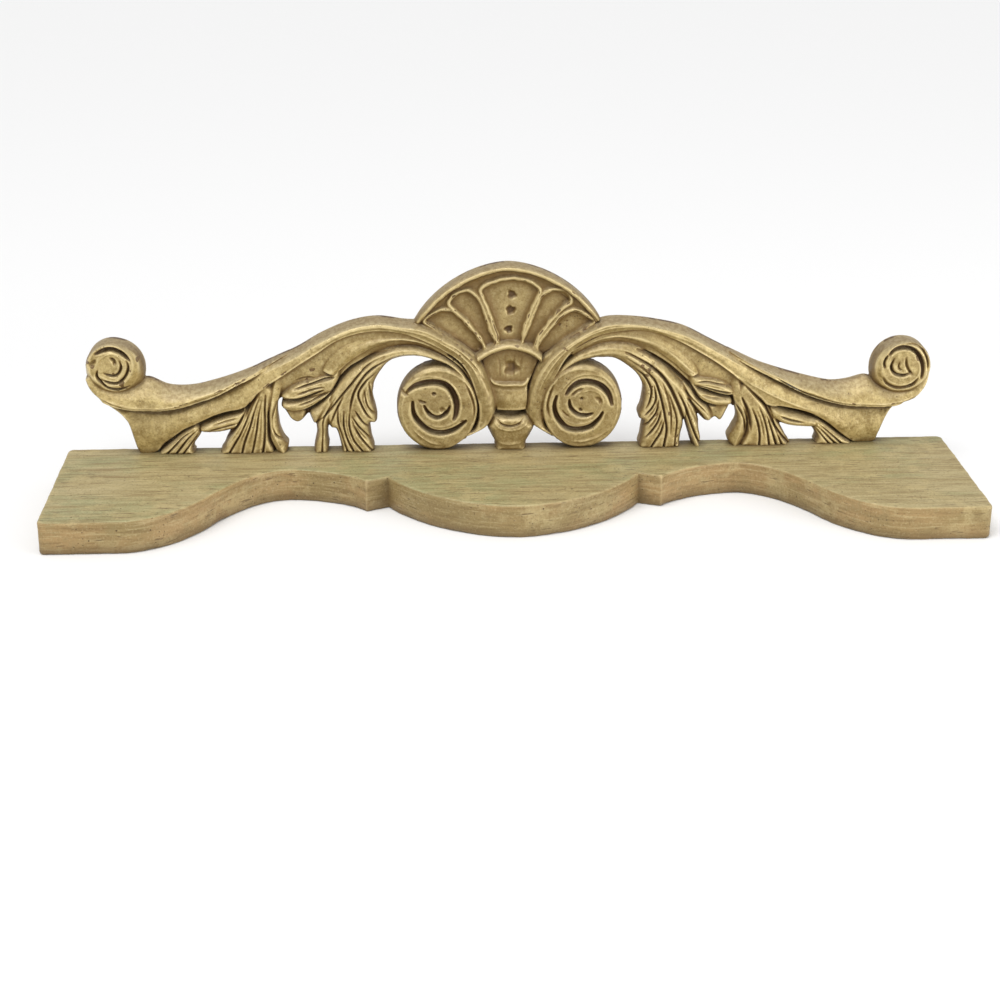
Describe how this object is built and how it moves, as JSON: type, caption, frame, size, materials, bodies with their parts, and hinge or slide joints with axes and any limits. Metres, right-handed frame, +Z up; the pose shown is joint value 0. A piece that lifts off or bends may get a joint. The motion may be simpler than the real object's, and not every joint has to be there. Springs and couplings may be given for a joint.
{
  "type": "carved headpiece",
  "caption": "Pierced wood crest with a fluted shell, scrolled arms and acanthus leaves, standing on a shaped shelf board; tops a cupboard, mirror or chimneypiece.",
  "frame": {"origin": "underside of the shelf board, under its middle", "axes": "+X along the board to the viewer's right, +Y to the flat back, +Z up"},
  "size_m": [0.9, 0.2, 0.2253],
  "materials": {
    "board_paint": "aged paint, satin, rubbed along the edges",
    "crest_gilding": "aged gilding over paint, brown glaze in the hollows"
  },
  "bodies": {
    "root": {"shelf_board": "board_paint", "carved_crest": "crest_gilding"}
  },
  "joints": []
}
